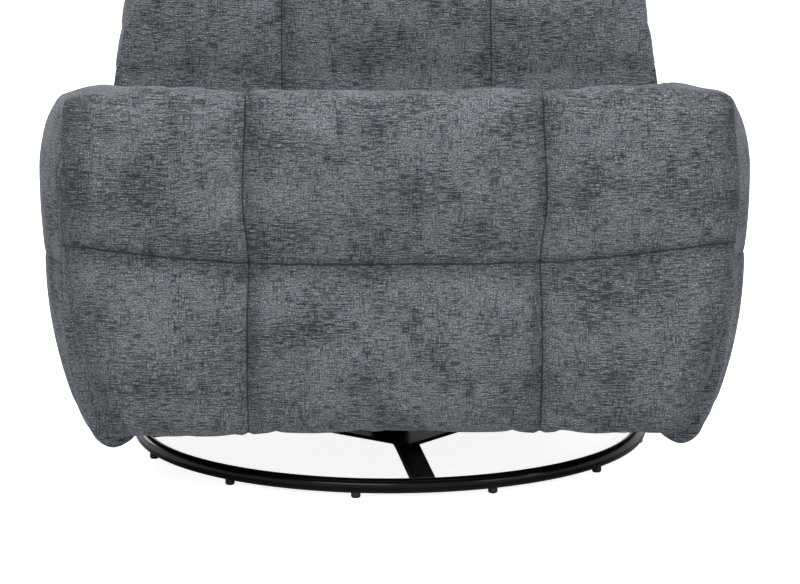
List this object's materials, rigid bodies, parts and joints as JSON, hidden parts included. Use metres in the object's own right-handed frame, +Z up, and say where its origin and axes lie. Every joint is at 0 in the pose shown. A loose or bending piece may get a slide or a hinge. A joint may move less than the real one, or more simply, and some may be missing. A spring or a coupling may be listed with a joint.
{
  "type": "swivel recliner",
  "caption": "Upholstered swivel recliner on a black steel ring base, with a tufted front panel that swings up as a footrest, padded sides and a reclining back.",
  "frame": {"origin": "on the floor, on the swivel axis, midway across the chair's width and depth", "axes": "+Z up along the swivel axis, -Y to the front of the chair, +X to the right of someone standing before it"},
  "size_m": [0.885, 0.8989, 1.0568],
  "materials": {
    "black_enamel": "black gloss enamel on steel",
    "mechanism_steel": "satin black coat on pressed steel",
    "zinc_steel": "bright zinc",
    "glide_rubber": "black rubber",
    "bearing_plastic": "pale nylon",
    "handle_plastic": "fine grained black",
    "frame_wood": "bare plywood and softwood",
    "webbing": "woven elastic webbing",
    "chenille": "mottled blue-grey chenille"
  },
  "bodies": {
    "base": {"base_ring": "black_enamel", "base_arms": "black_enamel", "hub_plate": "black_enamel", "glide_feet": "glide_rubber", "arm_bolts": "zinc_steel", "swivel_post": "black_enamel", "thrust_washer": "bearing_plastic", "retaining_washer": "zinc_steel", "retaining_bolt": "zinc_steel"},
    "seat_body": {"swivel_sleeve": "black_enamel", "cross_rail_front": "mechanism_steel", "cross_rail_rear": "mechanism_steel", "side_rail_left": "mechanism_steel", "side_rail_right": "mechanism_steel", "mech_plate_left": "mechanism_steel", "mech_plate_right": "mechanism_steel", "front_studs": "zinc_steel", "hinge_pins": "zinc_steel", "side_board_left": "frame_wood", "side_board_right": "frame_wood", "seat_rail_front": "frame_wood", "seat_rail_rear": "frame_wood", "seat_webbing": "webbing", "seat_cushion": "chenille", "side_shell_left": "chenille", "side_shell_right": "chenille", "rear_panel": "chenille", "handle_cup": "handle_plastic", "paddle_pin": "zinc_steel"},
    "lift_arms": {"torque_tube": "mechanism_steel", "lift_arm_left": "mechanism_steel", "lift_arm_right": "mechanism_steel", "arm_pins": "zinc_steel"},
    "front_links": {"front_link_left": "mechanism_steel", "front_link_right": "mechanism_steel", "front_link_pins": "zinc_steel"},
    "couplers": {"coupler_left": "mechanism_steel", "coupler_right": "mechanism_steel"},
    "tie_rods": {"tie_rod_left": "mechanism_steel", "tie_rod_right": "mechanism_steel"},
    "footrest": {"foot_bracket_left": "mechanism_steel", "foot_bracket_right": "mechanism_steel", "foot_pins": "zinc_steel", "footrest_board": "frame_wood", "footrest_pad": "chenille"},
    "back": {"back_bracket_left": "mechanism_steel", "back_bracket_right": "mechanism_steel", "back_stile_left": "frame_wood", "back_stile_right": "frame_wood", "back_rail_low": "frame_wood", "back_rail_top": "frame_wood", "back_webbing": "webbing", "back_cushion": "chenille", "back_outer": "chenille"},
    "paddle": {"release_paddle": "handle_plastic"}
  },
  "joints": [
    {"name": "swivel", "type": "hinge", "parent": "base", "child": "seat_body", "pos_m": [0, 0, 0.08], "axis": [0, 0, 1], "continuous": true},
    {"name": "footrest_lift", "type": "hinge", "parent": "seat_body", "child": "lift_arms", "pos_m": [0, -0.26, 0.33], "axis": [-1, 0, 0], "range_deg": [0, 88]},
    {"name": "front_link_swing", "type": "hinge", "parent": "seat_body", "child": "front_links", "pos_m": [0, -0.334, 0.361], "axis": [-1, 0, 0], "range_deg": [0, 88]},
    {"name": "coupler_swing", "type": "hinge", "parent": "lift_arms", "child": "couplers", "pos_m": [0, -0.17073, 0.08474], "axis": [-1, 0, 0], "range_deg": [-88, 0]},
    {"name": "tie_rod_swing", "type": "hinge", "parent": "lift_arms", "child": "tie_rods", "pos_m": [0, -0.17073, 0.12974], "axis": [-1, 0, 0], "range_deg": [-88, 0]},
    {"name": "footrest_tilt", "type": "hinge", "parent": "couplers", "child": "footrest", "pos_m": [0, -0.345, 0.25], "axis": [-1, 0, 0], "range_deg": [0, 88]},
    {"name": "back_recline", "type": "hinge", "parent": "seat_body", "child": "back", "pos_m": [0, 0.235, 0.4], "axis": [-1, 0, 0], "range_deg": [0, 38]},
    {"name": "release_pull", "type": "hinge", "parent": "seat_body", "child": "paddle", "pos_m": [-0.423, -0.06, 0.414], "axis": [0, 1, 0], "range_deg": [0, 25], "stiffness_Nm_per_rad": 1.5}
  ],
  "couplings": [
    {"joint": "front_link_swing", "follows": "footrest_lift", "ratio": 1},
    {"joint": "coupler_swing", "follows": "footrest_lift", "ratio": -1},
    {"joint": "tie_rod_swing", "follows": "footrest_lift", "ratio": -1},
    {"joint": "footrest_tilt", "follows": "footrest_lift", "ratio": 1}
  ]
}
